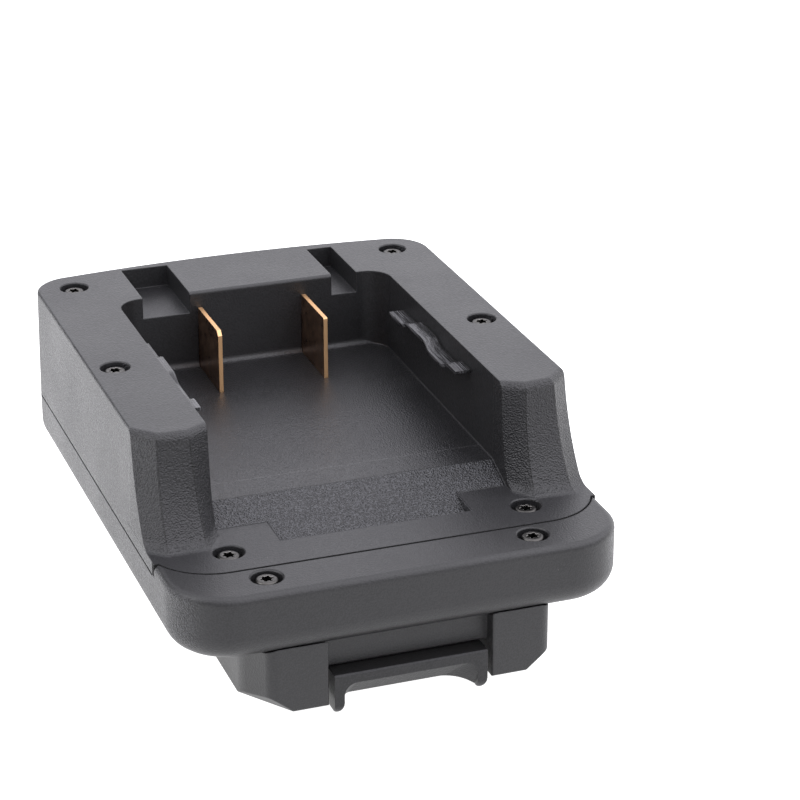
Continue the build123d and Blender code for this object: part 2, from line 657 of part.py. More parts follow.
with BuildPart() as terminal_blade_left:
    with BuildSketch(Plane.YZ.offset(-BLADE_X - BLADE_T / 2)):
        with BuildLine():
            blade_outline()
        make_face()
    extrude(amount=BLADE_T)
    corner = terminal_blade_left.edges().filter_by(Axis.X).filter_by(
        lambda e: e.center().Y < BACK - 13.0 and e.center().Z > TOP - 4.0
    )
    chamfer(corner, length=0.9)
terminal_blade_left.part.label = "terminal_blade_left"
export_step(terminal_blade_left.part, "parts/terminal_blade_left.step")

with BuildPart() as terminal_blade_right:
    with BuildSketch(Plane.YZ.offset(BLADE_X - BLADE_T / 2)):
        with BuildLine():
            blade_outline()
        make_face()
    extrude(amount=BLADE_T)
    corner = terminal_blade_right.edges().filter_by(Axis.X).filter_by(
        lambda e: e.center().Y < BACK - 13.0 and e.center().Z > TOP - 4.0
    )
    fillet(corner, radius=0.3)
terminal_blade_right.part.label = "terminal_blade_right"
export_step(terminal_blade_right.part, "parts/terminal_blade_right.step")

# carrier that clamps the two tails behind the back wall
with BuildPart() as blade_carrier:
    with BuildSketch(Plane.XY.offset(TOP - 16.4)):
        with Locations((0, BACK + 4.6)):
            Rectangle(29.0, 4.0)
    extrude(amount=9.6)
    with BuildSketch(Plane.XY.offset(TOP - 15.3)):
        with Locations((0, BACK + 10.0)):
            RectangleRounded(17.0, 10.6, 1.5)
    extrude(amount=2.2)
    with BuildSketch(Plane.XY.offset(TOP - 14.8)):
        with Locations((BLADE_X, BACK + 4.6), (-BLADE_X, BACK + 4.6)):
            Rectangle(BLADE_T + 0.02, 6.0)
    extrude(amount=7.3, mode=Mode.SUBTRACT)
    with BuildSketch(Plane.XY.offset(TOP - 16.0)):
        with Locations((5.0, BACK + 12.2), (-5.0, BACK + 12.2)):
            Circle(1.3)
    extrude(amount=4.0, mode=Mode.SUBTRACT)
blade_carrier.part.label = "blade_carrier"
export_step(blade_carrier.part, "parts/blade_carrier.step")

# two small screws, heads underneath
with BuildPart() as blade_carrier_screws:
    for x in (5.0, -5.0):
        with BuildSketch(Plane.XY.offset(TOP - 15.3)):
            with Locations((x, BACK + 12.2)):
                Circle(1.1)
        extrude(amount=7.2)
        with BuildSketch(Plane.XY.offset(TOP - 15.3)):
            with Locations((x, BACK + 12.2)):
                Circle(2.0)
        extrude(amount=-1.5)
        with BuildSketch(Plane.XY.offset(TOP - 16.8)):
            with Locations((x, BACK + 12.2)):
                Circle(0.8)
                with PolarLocations(0.85, 6):
                    Circle(0.25)
        extrude(amount=0.9, mode=Mode.SUBTRACT)
blade_carrier_screws.part.label = "blade_carrier_screws"
export_step(blade_carrier_screws.part, "parts/blade_carrier_screws.step")


# ---------------------------------------------------------------- rail strips
STRIP_T = 0.6
STRIP_LOW = TOP - 4.35
STRIP_HIGH = TOP - 3.1
STRIP_TABS = ((-28.5, -24.5, STRIP_HIGH - STRIP_T), (-39.2, -35.2, STRIP_LOW - STRIP_T))


def strip_outline():
    """Side view of the stepped strip along an arm, with soft ramps between the steps."""
    for dz in (0.0, -STRIP_T):
        lo, hi = STRIP_LOW + dz, STRIP_HIGH + dz
        Line((BACK - 12.2, lo), (BACK - 18.6, lo))
        Spline((BACK - 18.6, lo), (BACK - 23.2, hi), tangents=((-1, 0), (-1, 0)))
        Line((BACK - 23.2, hi), (BACK - 29.8, hi))
        Spline((BACK - 29.8, hi), (BACK - 34.4, lo), tangents=((-1, 0), (-1, 0)))
        Line((BACK - 34.4, lo), (BACK - 40.2, lo))
        Spline((BACK - 40.2, lo), (BACK - 44.2, hi), tangents=((-1, 0), (-1, 0)))
        Line((BACK - 44.2, hi), (BACK - 47.9, hi))
    Line((BACK - 12.2, STRIP_LOW), (BACK - 12.2, STRIP_LOW - STRIP_T))
    Line((BACK - 47.9, STRIP_HIGH), (BACK - 47.9, STRIP_HIGH - STRIP_T))


with BuildPart() as rail_strip_left:
    with BuildSketch(Plane.YZ.offset(-POCKET_W + 0.02)):
        with BuildLine():
            strip_outline()
        make_face()
    extrude(amount=POCKET_W - 24.05)
    for y0, y1, z0 in STRIP_TABS:
        with BuildSketch(Plane.XY.offset(z0)):
            with Locations((-(24.6 + 29.4) / 2, BACK + (y0 + y1) / 2)):
                Rectangle(4.8, y1 - y0)
        extrude(amount=STRIP_T)
rail_strip_left.part.label = "rail_strip_left"
export_step(rail_strip_left.part, "parts/rail_strip_left.step")

with BuildPart() as rail_strip_right:
    with BuildSketch(Plane.YZ.offset(24.05)):
        with BuildLine():
            strip_outline()
        make_face()
    extrude(amount=POCKET_W - 24.07)
    for y0, y1, z0 in STRIP_TABS:
        with BuildSketch(Plane.XY.offset(z0)):
            with Locations(((24.6 + 29.4) / 2, BACK + (y0 + y1) / 2)):
                Rectangle(4.8, y1 - y0)
        extrude(amount=STRIP_T)
rail_strip_right.part.label = "rail_strip_right"
export_step(rail_strip_right.part, "parts/rail_strip_right.step")
print("strips", rail_strip_left.part.volume, rail_strip_right.part.volume)


# ---------------------------------------------------------------- contacts inside the plug
with BuildPart() as contact_block:
    with BuildSketch(Plane.XY.offset(TOP - 40.0)):
        with Locations((0, BACK - 28.0)):
            Rectangle(35.0, 24.0)
    extrude(amount=8.4)
    with BuildSketch(Plane.XY.offset(TOP - 36.0)):
        with Locations((0, BACK - 25.0)):
            Rectangle(44.2, 5.4)
    extrude(amount=1.8)
    # chambers of the two clips, open at the rear and below
    with BuildSketch(Plane.XY.offset(TOP - 41.0)):
        with Locations((BLADE_X, BACK - 26.8), (-BLADE_X, BACK - 26.8)):
            Rectangle(4.6, 23.4)
    extrude(amount=8.6, mode=Mode.SUBTRACT)
    # way up for the clip tails, and the hollow middle
    with BuildSketch(Plane.XY.offset(TOP - 33.0)):
        with Locations((BLADE_X, BACK - 36.5), (-BLADE_X, BACK - 36.5)):
            Rectangle(1.6, 4.0)
    extrude(amount=3.0, mode=Mode.SUBTRACT)
    with BuildSketch(Plane.XY.offset(TOP - 41.0)):
        with Locations((0, BACK - 28.0)):
            Rectangle(12.4, 20.0)
    extrude(amount=7.6, mode=Mode.SUBTRACT)
    with BuildSketch(Plane.XY.offset(TOP - 41.0)):
        with Locations(*mirrored_pair(SCREW_BLOCK)):
            Circle(1.3)
    extrude(amount=8.0, mode=Mode.SUBTRACT)
contact_block.part.label = "contact_block"
export_step(contact_block.part, "parts/contact_block.step")

CLIP_T = 0.5


def clip_solid(x_mid):
    """Folded clip: two sprung leaves joined at the front, solder tail rising from the fold."""
    with BuildPart() as clip:
        with BuildSketch(Plane.XY.offset(TOP - 39.4)):
            with BuildLine():
                Polyline(
                    (x_mid - 1.75, BACK - 17.2),
                    (x_mid - 0.75, BACK - 20.2),
                    (x_mid - 0.75, BACK - 21.4),
                    (x_mid - 1.7, BACK - 27.5),
                    (x_mid - 1.7, BACK - 38.0),
                    (x_mid + 1.7, BACK - 38.0),
                    (x_mid + 1.7, BACK - 27.5),
                    (x_mid + 0.75, BACK - 21.4),
                    (x_mid + 0.75, BACK - 20.2),
                    (x_mid + 1.75, BACK - 17.2),
                    (x_mid + 1.75 - CLIP_T, BACK - 17.05),
                    (x_mid + 0.75 - CLIP_T, BACK - 20.1),
                    (x_mid + 0.75 - CLIP_T, BACK - 21.5),
                    (x_mid + 1.7 - CLIP_T, BACK - 27.6),
                    (x_mid + 1.7 - CLIP_T, BACK - 38.0 + CLIP_T),
                    (x_mid - 1.7 + CLIP_T, BACK - 38.0 + CLIP_T),
                    (x_mid - 1.7 + CLIP_T, BACK - 27.6),
                    (x_mid - 0.75 + CLIP_T, BACK - 21.5),
                    (x_mid - 0.75 + CLIP_T, BACK - 20.1),
                    (x_mid - 1.75 + CLIP_T, BACK - 17.05),
                    close=True,
                )
            make_face()
        extrude(amount=6.6)
    return clip.part


def clip_tail(x_mid):
    """Upright tail tab beside the lead, rooted in the side leaf."""
    with BuildPart() as tab:
        with BuildSketch(Plane.YZ.offset(x_mid - 0.3)):
            with BuildLine():
                Polyline(
                    (BACK - 38.0, TOP - 34.0),
                    (BACK - 38.0, TOP - 26.2),
                    (BACK - 35.0, TOP - 26.2),
                    (BACK - 35.0, TOP - 34.0),
                    close=True,
                )
            make_face()
        extrude(amount=0.6)
    return tab.part


clip_l, clip_r = clip_solid(-BLADE_X), clip_solid(BLADE_X)
tail_l, tail_r = clip_tail(-BLADE_X - 0.02), clip_tail(BLADE_X + 0.02)

with BuildPart() as contact_clip_left:
    add(clip_l)
    add(tail_l)
contact_clip_left.part.label = "contact_clip_left"
export_step(contact_clip_left.part, "parts/contact_clip_left.step")

with BuildPart() as contact_clip_right:
    add(clip_r)
    add(tail_r)
contact_clip_right.part.label = "contact_clip_right"
export_step(contact_clip_right.part, "parts/contact_clip_right.step")
print("clip", len(contact_clip_left.part.solids()), len(contact_clip_right.part.solids()))

# insulated leads: blade tail, down, forward over the base, down to the clip tail
LEAD_R = 1.4
LEAD_X = BLADE_X + BLADE_T / 2 + LEAD_R


def lead_solid(side):
    x = side * LEAD_X
    with BuildPart() as lead:
        with BuildLine() as path:
            FilletPolyline(
                (x, BACK + 10.5, TOP - 8.6),
                (x, BACK + 10.5, TOP - 23.6),
                (x, BACK - 36.5, TOP - 23.6),
                (x, BACK - 36.5, TOP - 30.9),
                radius=5.5,
            )
        with BuildSketch(Plane(origin=(x, BACK + 10.5, TOP - 8.6), z_dir=(0, 0, -1))):
            Circle(LEAD_R)
        sweep(path=path.line)
    run = sum(e.length for e in path.line.edges())
    print("lead length", run, "volume ratio", lead.part.volume / (run * 3.14159265 * LEAD_R ** 2))
    return lead.part


run_l, run_r = lead_solid(-1), lead_solid(1)

with BuildPart() as lead_left:
    add(run_l)
lead_left.part.label = "lead_left"
export_step(lead_left.part, "parts/lead_left.step")

with BuildPart() as lead_right:
    add(run_r)
lead_right.part.label = "lead_right"
export_step(lead_right.part, "parts/lead_right.step")

with BuildPart() as contact_block_screws:
    for x in (SCREW_BLOCK[0], -SCREW_BLOCK[0]):
        with BuildSketch(Plane.XY.offset(TOP - 34.2)):
            with Locations((x, SCREW_BLOCK[1])):
                Circle(1.1)
        extrude(amount=-5.2)
        with BuildSketch(Plane.XY.offset(TOP - 34.2)):
            with Locations((x, SCREW_BLOCK[1])):
                Circle(2.0)
        extrude(amount=1.5)
        with BuildSketch(Plane.XY.offset(TOP - 32.7)):
            with Locations((x, SCREW_BLOCK[1])):
                Circle(0.8)
                with PolarLocations(0.85, 6):
                    Circle(0.25)
        extrude(amount=-0.9, mode=Mode.SUBTRACT)
contact_block_screws.part.label = "contact_block_screws"
export_step(contact_block_screws.part, "parts/contact_block_screws.step")


# ---------------------------------------------------------------- release lever
LEVER_TOP = TOP - 36.8
LEVER_W = 13.87                # half width over the two side ribs
LEG_IN = 12.1                  # inner side of the ribs and toes


# Rounded foot of a toe: depth below the top face, half width, front and rear edge,
# corner radius.
toe_rows = [
    (42.3, 0.885, -90.50, -84.90, 0.06),
    (42.8, 0.885, -90.47, -84.93, 0.22),
    (43.2, 0.875, -90.36, -85.02, 0.42),
    (43.6, 0.840, -90.15, -85.18, 0.60),
    (44.0, 0.745, -89.80, -85.45, 0.66),
    (44.3, 0.600, -89.38, -85.82, 0.55),
    (44.5, 0.400, -88.92, -86.25, 0.37),
    (44.6, 0.150, -88.40, -86.75, 0.14),
]


def toe_face(side, row):
    depth, half, front, rear, corner = row
    with BuildSketch(Plane.XY.offset(TOP - depth)) as sk:
        with Locations((side * (LEVER_W + LEG_IN) / 2, BACK + (front + rear) / 2)):
            RectangleRounded(2 * half, rear - front, corner)
    return sk.sketch


with BuildPart() as release_lever:
    # two side ribs ending in rounded toes
    for x0 in (-LEVER_W, LEG_IN):
        with BuildSketch(Plane.YZ.offset(x0)):
            with BuildLine():
                Polyline(
                    (BACK - 72.0, LEVER_TOP),
                    (BACK - 90.2, LEVER_TOP),
                    (BACK - 90.5, LEVER_TOP - 0.3),
                    (BACK - 90.5, TOP - 42.3),
                    (BACK - 84.9, TOP - 42.3),
                    (BACK - 84.2, TOP - 41.6),
                    (BACK - 80.0, TOP - 41.3),
                    (BACK - 73.5, TOP - 39.6),
                    (BACK - 72.0, TOP - 38.6),
                    close=True,
                )
            make_face()
        extrude(amount=LEVER_W - LEG_IN)
    for side in (1, -1):
        feet = [toe_face(side, row) for row in toe_rows]
        loft(feet, ruled=True)
    # front bar with a bevelled underside
    with BuildSketch(Plane.YZ.offset(-LEG_IN - 0.2)):
        with BuildLine():
            Polyline(
                (BACK - 90.2, LEVER_TOP),
                (BACK - 90.5, LEVER_TOP - 0.3),
                (BACK - 90.5, TOP - 38.65),
                (BACK - 88.5, TOP - 41.4),
                (BACK - 86.0, TOP - 41.4),
                (BACK - 85.0, TOP - 39.0),
                (BACK - 85.0, LEVER_TOP),
                close=True,
            )
        make_face()
    extrude(amount=2 * LEG_IN + 0.4)
    # plate from the bar to the pivot and on to the latch tooth
    with BuildSketch(Plane.XY.offset(LEVER_TOP - 2.2)):
        with Locations((0, BACK - 80.0)):
            Rectangle(2 * LEG_IN + 0.4, 14.0)
        with Locations((0, BACK - 63.5)):
            Rectangle(22.6, 21.0)
    extrude(amount=2.2)
    # latch tooth under the plate: ramp towards the rear, catch face towards the front
    with BuildSketch(Plane.YZ.offset(-7.0)):
        with BuildLine():
            Polyline(
                (BACK - 58.0, TOP - 38.5),
                (BACK - 58.0, TOP - 43.8),
                (BACK - 57.5, TOP - 44.3),
                (BACK - 56.6, TOP - 44.3),
                (BACK - 53.0, TOP - 40.6),
                (BACK - 53.0, TOP - 38.5),
                close=True,
            )
        make_face()
    extrude(amount=14.0)
    # spring spigots
    with BuildSketch(Plane.XY.offset(LEVER_TOP - 0.5)):
        with Locations((6.0, SPRING_Y), (-6.0, SPRING_Y)):
            Circle(1.45)
    extrude(amount=2.1)
    # pivot hubs
    for x0 in (-14.3, 11.2):
        with BuildSketch(Plane.YZ.offset(x0)):
            with Locations((PIVOT_Y, PIVOT_Z)):
                Circle(2.55)
            with Locations((PIVOT_Y - 1.4, PIVOT_Z - 0.4)):
                Rectangle(2.8, 2.4)
        extrude(amount=3.1)
    with BuildSketch(Plane.YZ.offset(-16.0)):
        with Locations((PIVOT_Y, PIVOT_Z)):
            Circle(PIN_R + 0.05)
    extrude(amount=32.0, mode=Mode.SUBTRACT)
    # inner corners between the bar and the toes: alike in front, behind the right one
    # runs further along the bar than the left one
    for side, run, mid_x, mid_z, low in ((1, 5.0, 9.7, 42.5, 44.0), (-1, 10.3, 11.57, 41.93, 43.2)):
        with BuildSketch(Plane.XZ.offset(-(BACK - 90.5))) as web_front:
            with BuildLine():
                Polyline(
                    (side * 9.75, TOP - 38.65),
                    (side * 9.75, TOP - 38.4),
                    (side * 12.3, TOP - 38.4),
                    (side * 12.3, TOP - 41.0),
                    (side * 12.1, TOP - 41.0),
                )
                ThreePointArc(
                    (side * 12.1, TOP - 41.0),
                    (side * 11.412, TOP - 39.338),
                    (side * 9.75, TOP - 38.65),
                )
            make_face()
        for rear_y in (BACK - 88.4, BACK - 86.8):
            with BuildSketch(Plane.XZ.offset(-rear_y)):
                with BuildLine():
                    Polyline(
                        (side * run, TOP - 41.4),
                        (side * run, TOP - 41.1),
                        (side * 12.3, TOP - 41.1),
                        (side * 12.3, TOP - low),
                        (side * 12.1, TOP - low),
                    )
                    ThreePointArc(
                        (side * 12.1, TOP - low),
                        (side * mid_x, TOP - mid_z),
                        (side * run, TOP - 41.4),
                    )
                make_face()
            if rear_y < BACK - 88.0:
                loft(ruled=True)
            else:
                extrude(amount=1.6)
release_lever.part.label = "release_lever"
export_step(release_lever.part, "parts/release_lever.step")
print("lever", len(release_lever.part.solids()), release_lever.part.bounding_box())

with BuildPart() as lever_pin:
    with BuildSketch(Plane.YZ.offset(-17.2)):
        with Locations((PIVOT_Y, PIVOT_Z)):
            Circle(PIN_R)
    extrude(amount=34.4)
    chamfer(lever_pin.edges().filter_by(GeomType.CIRCLE), length=0.25)
lever_pin.part.label = "lever_pin"
export_step(lever_pin.part, "parts/lever_pin.step")

SPRING_R = 1.98
SPRING_WIRE = 0.22
SPRING_Z0 = LEVER_TOP          # on the lever's plate
SPRING_Z1 = BASE_Z + 0.8       # in its seat in the base


def spring_solid(x, y):
    with BuildPart() as coil:
        with BuildLine() as wire:
            Helix(
                pitch=1.12,
                height=SPRING_Z1 - SPRING_Z0 - 2 * SPRING_WIRE - 0.06,
                radius=SPRING_R,
                center=(x, y, SPRING_Z0 + SPRING_WIRE + 0.03),
            )
        with BuildSketch(Plane(origin=wire.line @ 0, z_dir=wire.line % 0)):
            Circle(SPRING_WIRE)
        sweep(path=wire.line)
    return coil.part


coil_l, coil_r = spring_solid(-6.0, SPRING_Y), spring_solid(6.0, SPRING_Y)

with BuildPart() as lever_spring_left:
    add(coil_l)
lever_spring_left.part.label = "lever_spring_left"
export_step(lever_spring_left.part, "parts/lever_spring_left.step")

with BuildPart() as lever_spring_right:
    add(coil_r)
lever_spring_right.part.label = "lever_spring_right"
export_step(lever_spring_right.part, "parts/lever_spring_right.step")


# ---------------------------------------------------------------- case screws
long_points = mirrored_pair(SCREW_REAR) + mirrored_pair(SCREW_MID)
long_group = screw_solids(long_points, TOP - 2.45, 25.9)
flange_group = screw_solids(mirrored_pair(SCREW_FLANGE), FLANGE_Z - 2.35, 7.9)
skirt_group = screw_solids(mirrored_pair(SCREW_SKIRT), FLANGE_Z - 2.15, 17.2)
plug_group = screw_solids(mirrored_pair(SCREW_PLUG), BASE_FLOOR, 10.0)

with BuildPart() as long_case_screws:
    add(long_group)
long_case_screws.part.label = "long_case_screws"
export_step(long_case_screws.part, "parts/long_case_screws.step")

with BuildPart() as flange_screws:
    add(flange_group)
flange_screws.part.label = "flange_screws"
export_step(flange_screws.part, "parts/flange_screws.step")

with BuildPart() as skirt_screws:
    add(skirt_group)
skirt_screws.part.label = "skirt_screws"
export_step(skirt_screws.part, "parts/skirt_screws.step")

with BuildPart() as plug_screws:
    add(plug_group)
plug_screws.part.label = "plug_screws"
export_step(plug_screws.part, "parts/plug_screws.step")
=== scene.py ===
import bpy
import bmesh
import math
import random
from mathutils import Vector, Matrix


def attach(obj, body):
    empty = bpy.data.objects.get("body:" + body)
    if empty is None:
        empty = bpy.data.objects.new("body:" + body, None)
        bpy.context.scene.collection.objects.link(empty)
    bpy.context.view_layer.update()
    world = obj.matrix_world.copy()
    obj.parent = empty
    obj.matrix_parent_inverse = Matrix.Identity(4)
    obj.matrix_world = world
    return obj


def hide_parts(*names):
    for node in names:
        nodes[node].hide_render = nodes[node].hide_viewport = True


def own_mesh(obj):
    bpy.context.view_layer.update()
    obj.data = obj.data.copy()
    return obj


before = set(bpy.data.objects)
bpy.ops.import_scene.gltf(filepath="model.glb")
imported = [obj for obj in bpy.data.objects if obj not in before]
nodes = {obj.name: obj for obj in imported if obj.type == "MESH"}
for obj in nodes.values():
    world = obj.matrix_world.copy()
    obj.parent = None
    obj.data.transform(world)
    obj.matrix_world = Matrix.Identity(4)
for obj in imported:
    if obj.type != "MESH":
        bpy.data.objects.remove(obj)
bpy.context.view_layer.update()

# ------------------------------------------------------------------ places in the row frame
BACK = 0.036175          # back wall of the battery pocket
TOP = 0.0446             # top face

# ------------------------------------------------------------------ depth of the moulded grain
FLANK_GRAIN = 4.2        # added on the outer flanks
ZONE_GRAIN = 3.4         # added on the arm fronts
RAMP_GRAIN = 6.0         # added on the latch ramp
FLOOR_GRAIN = 0.8        # added on the pocket floor


# ------------------------------------------------------------------ node helpers
def new_mat(name):
    m = bpy.data.materials.new(name)
    m.use_nodes = True
    nt = m.node_tree
    nt.nodes.clear()
    out = nt.nodes.new("ShaderNodeOutputMaterial")
    bsdf = nt.nodes.new("ShaderNodeBsdfPrincipled")
    nt.links.new(bsdf.outputs["BSDF"], out.inputs["Surface"])
    return m, nt, bsdf


def put(nt, kind, **vals):
    n = nt.nodes.new(kind)
    for k, v in vals.items():
        if k in n.inputs:
            n.inputs[k].default_value = v
        else:
            setattr(n, k, v)
    return n


def math_node(nt, op, a, b=None, clamp=False):
    n = nt.nodes.new("ShaderNodeMath")
    n.operation = op
    n.use_clamp = clamp
    for i, v in enumerate((a, b)):
        if v is None:
            continue
        if isinstance(v, (int, float)):
            n.inputs[i].default_value = v
        else:
            nt.links.new(v, n.inputs[i])
    return n.outputs[0]


def ramp(nt, value, lo, hi, a=0.0, b=1.0):
    n = nt.nodes.new("ShaderNodeMapRange")
    n.interpolation_type = "SMOOTHSTEP"
    nt.links.new(value, n.inputs["Value"])
    n.inputs["From Min"].default_value = lo
    n.inputs["From Max"].default_value = hi
    n.inputs["To Min"].default_value = a
    n.inputs["To Max"].default_value = b
    return n.outputs["Result"]


def noise(nt, vec, scale, detail=2.0, rough=0.5):
    n = nt.nodes.new("ShaderNodeTexNoise")
    n.inputs["Scale"].default_value = scale
    n.inputs["Detail"].default_value = detail
    n.inputs["Roughness"].default_value = rough
    nt.links.new(vec, n.inputs["Vector"])
    return n.outputs["Fac"]


def mix_color(nt, fac, a, b):
    n = nt.nodes.new("ShaderNodeMix")
    n.data_type = "RGBA"
    if isinstance(fac, (int, float)):
        n.inputs[0].default_value = fac
    else:
        nt.links.new(fac, n.inputs[0])
    for sock, v in ((n.inputs[6], a), (n.inputs[7], b)):
        if isinstance(v, tuple):
            sock.default_value = (*v, 1.0)
        else:
            nt.links.new(v, sock)
    return n.outputs[2]


def combine(nt, x, y, z):
    n = nt.nodes.new("ShaderNodeCombineXYZ")
    for i, v in enumerate((x, y, z)):
        if isinstance(v, (int, float)):
            n.inputs[i].default_value = v
        else:
            nt.links.new(v, n.inputs[i])
    return n.outputs[0]


def specks(nt, vec, scale, size, share):
    """Sparse small dots: 1 inside a dot, 0 elsewhere."""
    v = nt.nodes.new("ShaderNodeTexVoronoi")
    v.feature = "F1"
    v.inputs["Scale"].default_value = scale
    v.inputs["Randomness"].default_value = 1.0
    nt.links.new(vec, v.inputs["Vector"])
    sep = nt.nodes.new("ShaderNodeSeparateColor")
    nt.links.new(v.outputs["Color"], sep.inputs[0])
    dot = ramp(nt, v.outputs["Distance"], size * 0.5, size, 1.0, 0.0)
    chosen = ramp(nt, sep.outputs[0], 1.0 - share - 0.01, 1.0 - share, 0.0, 1.0)
    return math_node(nt, "MULTIPLY", dot, chosen)


def hairs(nt, vec, scale, width, mask_scale, share):
    """Fine curved scratches: thin level lines of a noise, kept in a few patches."""
    n = noise(nt, vec, scale, 1.0, 0.4)
    line = ramp(nt, math_node(nt, "ABSOLUTE", math_node(nt, "SUBTRACT", n, 0.5)), width * 0.4, width, 1.0, 0.0)
    patch = ramp(nt, noise(nt, vec, mask_scale, 1.0, 0.5), 1.0 - share - 0.02, 1.0 - share + 0.02, 0.0, 1.0)
    return math_node(nt, "MULTIPLY", line, patch)


def sep_x(nt, vec):
    sep = nt.nodes.new("ShaderNodeSeparateXYZ")
    nt.links.new(vec, sep.inputs[0])
    return sep.outputs[0]


def zone_masks(nt, vec):
    """Coarse-textured zones of the upper shell: latch ramp, arm fronts, pads beside the ramp."""
    sep = nt.nodes.new("ShaderNodeSeparateXYZ")
    nt.links.new(vec, sep.inputs[0])
    x, y, z = sep.outputs
    ax = math_node(nt, "ABSOLUTE", x)
    front = ramp(nt, y, BACK - 0.0592, BACK - 0.0588, 1.0, 0.0)
    above = ramp(nt, z, TOP - 0.0186, TOP - 0.0183, 0.0, 1.0)
    geo = nt.nodes.new("ShaderNodeNewGeometry")
    sepn = nt.nodes.new("ShaderNodeSeparateXYZ")
    nt.links.new(geo.outputs["Normal"], sepn.inputs[0])
    steep = ramp(nt, sepn.outputs[2], 0.90, 0.985, 1.0, 0.0)
    arms = math_node(nt, "MULTIPLY", math_node(nt, "MULTIPLY", front, above), steep)
    in_well = ramp(nt, y, BACK - 0.0733, BACK - 0.0731, 0.0, 1.0)
    narrow = ramp(nt, ax, 0.0174, 0.0177, 1.0, 0.0)
    well = math_node(nt, "MULTIPLY", math_node(nt, "MULTIPLY", front, narrow), in_well)
    above_pads = ramp(nt, z, TOP - 0.01866, TOP - 0.01860, 0.0, 1.0)
    beside = math_node(nt, "MULTIPLY", math_node(nt, "MULTIPLY", front, above_pads), ramp(nt, ax, 0.0266, 0.0270, 1.0, 0.0))
    sloping = math_node(nt, "MAXIMUM", well, beside)
    slope = math_node(nt, "MULTIPLY", sloping, RAMP_GRAIN)
    zone = math_node(nt, "MAXIMUM", math_node(nt, "MULTIPLY", arms, ZONE_GRAIN), slope)
    return x, y, z, ax, zone, sloping


def crease_mask(nt, x, y, z, ax):
    """The two creases between the facets of each arm's front."""
    depth = math_node(nt, "SUBTRACT", TOP, z)
    outer = math_node(nt, "ADD", math_node(nt, "MULTIPLY", depth, 0.04), 0.03636)
    inner = math_node(nt, "ADD", math_node(nt, "MULTIPLY", depth, -0.04), 0.03084)
    near = math_node(nt, "MINIMUM",
                     math_node(nt, "ABSOLUTE", math_node(nt, "SUBTRACT", ax, outer)),
                     math_node(nt, "ABSOLUTE", math_node(nt, "SUBTRACT", ax, inner)))
    line = ramp(nt, near, 0.00003, 0.00016, 1.0, 0.0)
    span = math_node(nt, "MULTIPLY", ramp(nt, y, BACK - 0.0626, BACK - 0.0624, 1.0, 0.0),
                     math_node(nt, "MULTIPLY", ramp(nt, depth, 0.0004, 0.0010, 0.0, 1.0), ramp(nt, depth, 0.0176, 0.0184, 1.0, 0.0)))
    return math_node(nt, "MULTIPLY", line, span)


